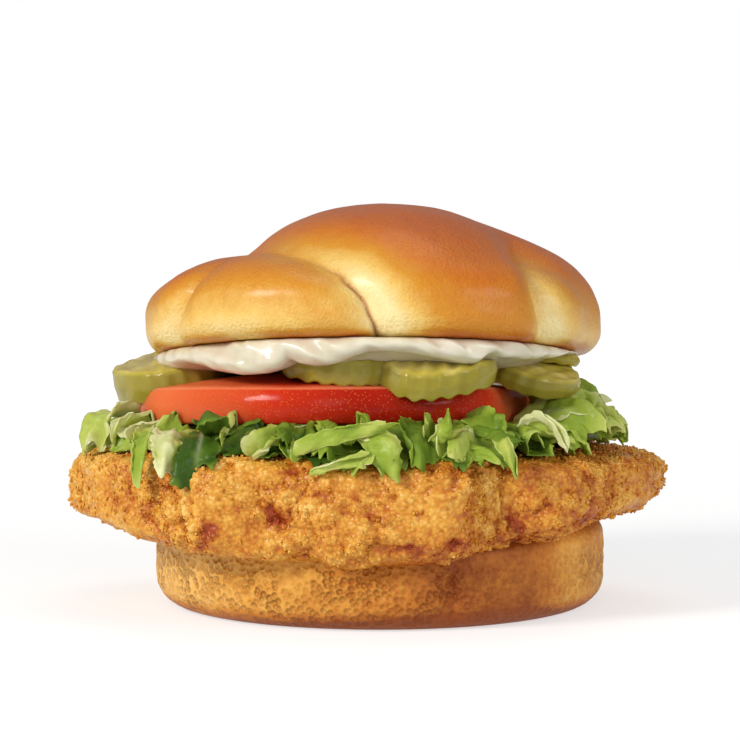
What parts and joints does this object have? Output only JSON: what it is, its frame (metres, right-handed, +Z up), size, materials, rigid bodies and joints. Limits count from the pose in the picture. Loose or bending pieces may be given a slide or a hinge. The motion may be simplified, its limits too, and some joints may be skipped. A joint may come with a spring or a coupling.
{
  "type": "chicken burger",
  "caption": "Crispy chicken burger: lobed glazed roll, breaded fillet, cut lettuce, tomato slice, crinkle-cut pickles and mayonnaise.",
  "frame": {"origin": "centre of the heel's underside, on the surface that the burger stands on", "axes": "+X along the fillet's long way, -Y towards the front, +Z up"},
  "size_m": [0.1334, 0.1133, 0.0898],
  "materials": {
    "bread_crust": "baked bread crust, dimpled, matt",
    "glazed_crust": "egg-washed bread crust, browned, soft gloss",
    "fried_crumb": "fried breading, craggy, slightly oily",
    "lettuce_leaf": "fresh leaf, thin, slightly translucent",
    "tomato": "ripe tomato skin, glossy, fine golden specks",
    "pickle": "crinkle-cut pickled cucumber, wet",
    "mayonnaise": "thick egg sauce, creamy, glossy"
  },
  "bodies": {
    "root": {"heel": "bread_crust", "chicken_fillet": "fried_crumb", "lettuce": "lettuce_leaf", "tomato_slice": "tomato", "pickle_left": "pickle", "pickle_centre_left": "pickle", "pickle_centre_right": "pickle", "pickle_right": "pickle", "pickle_far_right": "pickle", "mayonnaise": "mayonnaise", "crown": "glazed_crust"}
  },
  "joints": []
}
